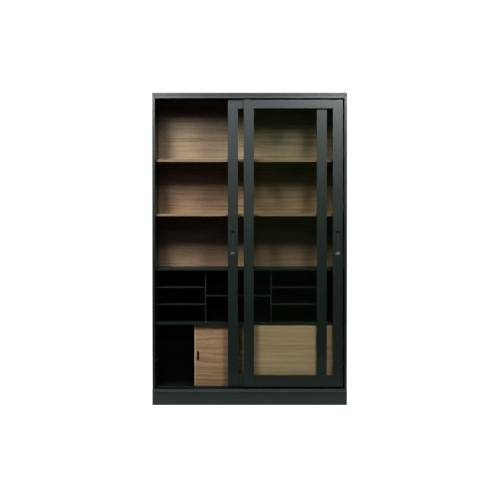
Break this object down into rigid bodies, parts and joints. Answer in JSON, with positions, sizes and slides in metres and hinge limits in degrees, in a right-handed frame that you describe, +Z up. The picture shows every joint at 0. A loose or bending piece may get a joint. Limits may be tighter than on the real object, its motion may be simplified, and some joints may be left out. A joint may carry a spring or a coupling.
{
  "type": "wall mounted showcase",
  "caption": "Tall black lacquered display cabinet on a plinth, with sliding framed glass doors, walnut shelves and back, pigeonholes and a low cupboard with walnut sliding doors",
  "frame": {"origin": "middle of the plinth's footprint, on the floor", "axes": "+Z up, +X to the viewer's right, the glass doors face -Y and the back is at +Y"},
  "size_m": [1.31, 0.42, 2.1],
  "materials": {
    "black_lacquer": "satin black lacquer on board",
    "walnut": "matt oiled walnut veneer, grain along the width",
    "rail_pine": "sawn softwood",
    "beech": "plain beech",
    "steel": "bright zinc plated",
    "track_black": "black anodised",
    "pull_black": "satin black",
    "clear_glass": "clear float glass",
    "nylon": "black nylon",
    "rubber": "matt black rubber"
  },
  "bodies": {
    "carcass": {"side_panel_left": "black_lacquer", "side_panel_right": "black_lacquer", "top_panel": "black_lacquer", "top_fascia": "black_lacquer", "bottom_panel": "black_lacquer", "raised_floor": "black_lacquer", "plinth_front": "black_lacquer", "plinth_left": "black_lacquer", "plinth_right": "black_lacquer", "plinth_rear": "black_lacquer", "back_panel_lower": "black_lacquer", "back_panel_middle": "black_lacquer", "fixed_shelf_lower": "black_lacquer", "fixed_shelf_upper": "black_lacquer", "divider_left": "black_lacquer", "divider_centre": "black_lacquer", "divider_right": "black_lacquer", "tray_left_lower": "black_lacquer", "tray_left_upper": "black_lacquer", "tray_centre": "black_lacquer", "tray_right_lower": "black_lacquer", "tray_right_upper": "black_lacquer", "back_panel_upper": "walnut", "walnut_shelf_lower": "walnut", "walnut_shelf_upper": "walnut", "wall_rail_top": "rail_pine", "wall_rail_bottom": "rail_pine", "carcass_dowels": "beech", "shelf_pins": "steel", "back_screws": "steel", "track_screws": "steel", "door_track_bottom": "track_black", "door_track_top": "track_black", "door_bumpers": "rubber"},
    "left_door": {"left_door_pull_stile": "black_lacquer", "left_door_far_stile": "black_lacquer", "left_door_rail_top": "black_lacquer", "left_door_rail_bottom": "black_lacquer", "left_door_glass": "clear_glass", "left_door_beads": "black_lacquer", "left_door_pull": "pull_black", "left_door_guides": "nylon", "left_door_wheel_housings": "steel"},
    "right_door": {"right_door_pull_stile": "black_lacquer", "right_door_far_stile": "black_lacquer", "right_door_rail_top": "black_lacquer", "right_door_rail_bottom": "black_lacquer", "right_door_glass": "clear_glass", "right_door_beads": "black_lacquer", "right_door_pull": "pull_black", "right_door_guides": "nylon", "right_door_wheel_housings": "steel"},
    "left_door_left_wheel": {"left_door_wheel_left": "nylon"},
    "left_door_right_wheel": {"left_door_wheel_right": "nylon"},
    "right_door_left_wheel": {"right_door_wheel_left": "nylon"},
    "right_door_right_wheel": {"right_door_wheel_right": "nylon"},
    "left_small_door": {"small_door_left": "walnut"},
    "right_small_door": {"small_door_right": "walnut"}
  },
  "joints": [
    {"name": "left_door_slide", "type": "slide", "parent": "carcass", "child": "left_door", "axis": [1, 0, 0], "range_m": [-0.481, 0.107]},
    {"name": "right_door_slide", "type": "slide", "parent": "carcass", "child": "right_door", "axis": [1, 0, 0], "range_m": [-0.588, 0]},
    {"name": "left_door_left_wheel_spin", "type": "hinge", "parent": "left_door", "child": "left_door_left_wheel", "pos_m": [-0.034, -0.159, 0.125], "axis": [0, 1, 0], "range_deg": [-2121, 473]},
    {"name": "left_door_right_wheel_spin", "type": "hinge", "parent": "left_door", "child": "left_door_right_wheel", "pos_m": [0.408, -0.159, 0.125], "axis": [0, 1, 0], "range_deg": [-2121, 473]},
    {"name": "right_door_left_wheel_spin", "type": "hinge", "parent": "right_door", "child": "right_door_left_wheel", "pos_m": [0.073, -0.183, 0.125], "axis": [0, 1, 0], "range_deg": [-2593, 1]},
    {"name": "right_door_right_wheel_spin", "type": "hinge", "parent": "right_door", "child": "right_door_right_wheel", "pos_m": [0.515, -0.183, 0.125], "axis": [0, 1, 0], "range_deg": [-2593, 1]},
    {"name": "left_small_door_slide", "type": "slide", "parent": "carcass", "child": "left_small_door", "axis": [1, 0, 0], "range_m": [-0.26, 0.359]},
    {"name": "right_small_door_slide", "type": "slide", "parent": "carcass", "child": "right_small_door", "axis": [1, 0, 0], "range_m": [-0.619, 0]}
  ],
  "couplings": [
    {"joint": "left_door_left_wheel_spin", "follows": "left_door_slide", "rad_per_m": 76.923},
    {"joint": "left_door_right_wheel_spin", "follows": "left_door_slide", "rad_per_m": 76.923},
    {"joint": "right_door_left_wheel_spin", "follows": "right_door_slide", "rad_per_m": 76.923},
    {"joint": "right_door_right_wheel_spin", "follows": "right_door_slide", "rad_per_m": 76.923}
  ]
}
